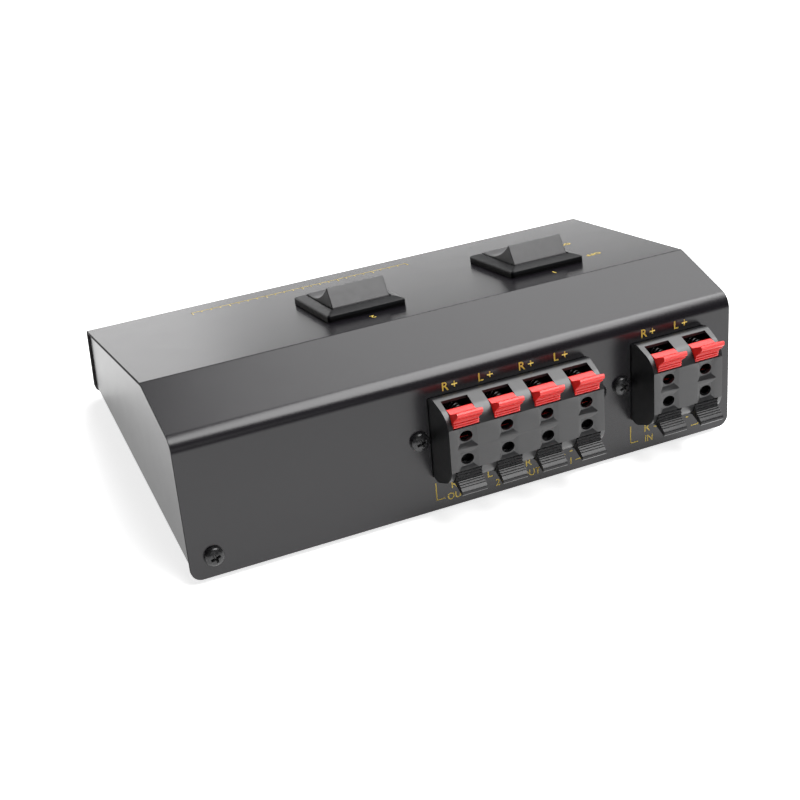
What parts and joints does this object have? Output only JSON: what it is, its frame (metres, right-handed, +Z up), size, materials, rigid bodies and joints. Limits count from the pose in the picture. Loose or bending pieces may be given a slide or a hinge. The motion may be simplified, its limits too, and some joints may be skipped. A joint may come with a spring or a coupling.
{
  "type": "loudspeaker selector switch box",
  "caption": "Low sloping steel box with rocker switches on top and sprung push terminals for bare wires on its leaning back panel.",
  "frame": {"origin": "centre of the face that the rubber feet stand on, under the middle of the case's base", "axes": "+Z up, +Y towards the terminal panel, +X to the left of someone who faces the terminals"},
  "size_m": [0.17, 0.1105, 0.0476],
  "materials": {
    "painted_sheet": "satin black paint on steel sheet",
    "black_screw": "blackened steel",
    "rubber": "matt black rubber",
    "black_plastic": "fine matt black moulding",
    "red_plastic": "bright red moulding",
    "gloss_black_plastic": "smooth black moulding",
    "tan_board": "brown insulating board",
    "tinned_metal": "bright tin plate",
    "spring_steel": "bright drawn wire",
    "brass": "plain brass strip",
    "nylon": "natural white nylon",
    "wire_insulation": "plain insulated wire"
  },
  "bodies": {
    "case": {"chassis_base": "painted_sheet", "top_cover": "painted_sheet", "rubber_feet": "rubber", "cover_screws": "black_screw", "terminal_screws": "black_screw", "speaker_terminal_housing": "black_plastic", "speaker_contact_carrier": "tan_board", "speaker_contacts": "tinned_metal", "speaker_red_spring_1": "spring_steel", "speaker_black_spring_1": "spring_steel", "speaker_red_spring_2": "spring_steel", "speaker_black_spring_2": "spring_steel", "speaker_red_spring_3": "spring_steel", "speaker_black_spring_3": "spring_steel", "speaker_red_spring_4": "spring_steel", "speaker_black_spring_4": "spring_steel", "amplifier_terminal_housing": "black_plastic", "amplifier_contact_carrier": "tan_board", "amplifier_contacts": "tinned_metal", "amplifier_red_spring_1": "spring_steel", "amplifier_black_spring_1": "spring_steel", "amplifier_red_spring_2": "spring_steel", "amplifier_black_spring_2": "spring_steel", "switch_one_frame": "gloss_black_plastic", "switch_one_base": "tan_board", "switch_one_blades": "brass", "switch_two_frame": "gloss_black_plastic", "switch_two_base": "tan_board", "switch_two_blades": "brass", "speaker_leads": "wire_insulation", "supply_leads": "wire_insulation", "link_leads": "wire_insulation", "return_leads": "wire_insulation"},
    "speaker_red_lever_1": {"speaker_red_lever_1": "red_plastic"},
    "speaker_black_lever_1": {"speaker_black_lever_1": "black_plastic"},
    "speaker_red_lever_2": {"speaker_red_lever_2": "red_plastic"},
    "speaker_black_lever_2": {"speaker_black_lever_2": "black_plastic"},
    "speaker_red_lever_3": {"speaker_red_lever_3": "red_plastic"},
    "speaker_black_lever_3": {"speaker_black_lever_3": "black_plastic"},
    "speaker_red_lever_4": {"speaker_red_lever_4": "red_plastic"},
    "speaker_black_lever_4": {"speaker_black_lever_4": "black_plastic"},
    "amplifier_red_lever_1": {"amplifier_red_lever_1": "red_plastic"},
    "amplifier_black_lever_1": {"amplifier_black_lever_1": "black_plastic"},
    "amplifier_red_lever_2": {"amplifier_red_lever_2": "red_plastic"},
    "amplifier_black_lever_2": {"amplifier_black_lever_2": "black_plastic"},
    "rocker_one": {"switch_one_rocker": "gloss_black_plastic", "switch_one_plungers": "nylon", "switch_one_plunger_springs": "spring_steel"},
    "seesaws_one": {"switch_one_seesaws": "brass"},
    "rocker_two": {"switch_two_rocker": "gloss_black_plastic", "switch_two_plungers": "nylon", "switch_two_plunger_springs": "spring_steel"},
    "seesaws_two": {"switch_two_seesaws": "brass"}
  },
  "joints": [
    {"name": "speaker_red_push_1", "type": "hinge", "parent": "case", "child": "speaker_red_lever_1", "pos_m": [0.0073, 0.0509, 0.03313], "axis": [1, 0, 0], "range_deg": [0, 20], "stiffness_Nm_per_rad": 0.1, "springref_deg": -17.19, "deforming": ["speaker_red_spring_1"]},
    {"name": "speaker_black_push_1", "type": "hinge", "parent": "case", "child": "speaker_black_lever_1", "pos_m": [0.0073, 0.05369, 0.0188], "axis": [-1, 0, 0], "range_deg": [0, 20], "stiffness_Nm_per_rad": 0.1, "springref_deg": -17.19, "deforming": ["speaker_black_spring_1"]},
    {"name": "speaker_red_push_2", "type": "hinge", "parent": "case", "child": "speaker_red_lever_2", "pos_m": [-0.0052, 0.0509, 0.03313], "axis": [1, 0, 0], "range_deg": [0, 20], "stiffness_Nm_per_rad": 0.1, "springref_deg": -17.19, "deforming": ["speaker_red_spring_2"]},
    {"name": "speaker_black_push_2", "type": "hinge", "parent": "case", "child": "speaker_black_lever_2", "pos_m": [-0.0052, 0.05369, 0.0188], "axis": [-1, 0, 0], "range_deg": [0, 20], "stiffness_Nm_per_rad": 0.1, "springref_deg": -17.19, "deforming": ["speaker_black_spring_2"]},
    {"name": "speaker_red_push_3", "type": "hinge", "parent": "case", "child": "speaker_red_lever_3", "pos_m": [-0.0177, 0.0509, 0.03313], "axis": [1, 0, 0], "range_deg": [0, 20], "stiffness_Nm_per_rad": 0.1, "springref_deg": -17.19, "deforming": ["speaker_red_spring_3"]},
    {"name": "speaker_black_push_3", "type": "hinge", "parent": "case", "child": "speaker_black_lever_3", "pos_m": [-0.0177, 0.05369, 0.0188], "axis": [-1, 0, 0], "range_deg": [0, 20], "stiffness_Nm_per_rad": 0.1, "springref_deg": -17.19, "deforming": ["speaker_black_spring_3"]},
    {"name": "speaker_red_push_4", "type": "hinge", "parent": "case", "child": "speaker_red_lever_4", "pos_m": [-0.0302, 0.0509, 0.03313], "axis": [1, 0, 0], "range_deg": [0, 20], "stiffness_Nm_per_rad": 0.1, "springref_deg": -17.19, "deforming": ["speaker_red_spring_4"]},
    {"name": "speaker_black_push_4", "type": "hinge", "parent": "case", "child": "speaker_black_lever_4", "pos_m": [-0.0302, 0.05369, 0.0188], "axis": [-1, 0, 0], "range_deg": [0, 20], "stiffness_Nm_per_rad": 0.1, "springref_deg": -17.19, "deforming": ["speaker_black_spring_4"]},
    {"name": "amplifier_red_push_1", "type": "hinge", "parent": "case", "child": "amplifier_red_lever_1", "pos_m": [-0.05715, 0.0509, 0.03313], "axis": [1, 0, 0], "range_deg": [0, 20], "stiffness_Nm_per_rad": 0.1, "springref_deg": -17.19, "deforming": ["amplifier_red_spring_1"]},
    {"name": "amplifier_black_push_1", "type": "hinge", "parent": "case", "child": "amplifier_black_lever_1", "pos_m": [-0.05715, 0.05369, 0.0188], "axis": [-1, 0, 0], "range_deg": [0, 20], "stiffness_Nm_per_rad": 0.1, "springref_deg": -17.19, "deforming": ["amplifier_black_spring_1"]},
    {"name": "amplifier_red_push_2", "type": "hinge", "parent": "case", "child": "amplifier_red_lever_2", "pos_m": [-0.06965, 0.0509, 0.03313], "axis": [1, 0, 0], "range_deg": [0, 20], "stiffness_Nm_per_rad": 0.1, "springref_deg": -17.19, "deforming": ["amplifier_red_spring_2"]},
    {"name": "amplifier_black_push_2", "type": "hinge", "parent": "case", "child": "amplifier_black_lever_2", "pos_m": [-0.06965, 0.05369, 0.0188], "axis": [-1, 0, 0], "range_deg": [0, 20], "stiffness_Nm_per_rad": 0.1, "springref_deg": -17.19, "deforming": ["amplifier_black_spring_2"]},
    {"name": "rocker_one_tip", "type": "hinge", "parent": "case", "child": "rocker_one", "pos_m": [-0.0454, -0.01028, 0.03741], "axis": [-1, 0, 0], "range_deg": [0, 32]},
    {"name": "seesaws_one_tip", "type": "hinge", "parent": "case", "child": "seesaws_one", "pos_m": [-0.0454, -0.00663, 0.02608], "axis": [1, 0, 0], "range_deg": [0, 16]},
    {"name": "rocker_two_tip", "type": "hinge", "parent": "case", "child": "rocker_two", "pos_m": [0.014, -0.01028, 0.03741], "axis": [-1, 0, 0], "range_deg": [0, 32]},
    {"name": "seesaws_two_tip", "type": "hinge", "parent": "case", "child": "seesaws_two", "pos_m": [0.014, -0.00663, 0.02608], "axis": [1, 0, 0], "range_deg": [0, 16]}
  ],
  "couplings": [
    {"joint": "seesaws_one_tip", "follows": "rocker_one_tip", "ratio": 0.5},
    {"joint": "seesaws_two_tip", "follows": "rocker_two_tip", "ratio": 0.5}
  ]
}
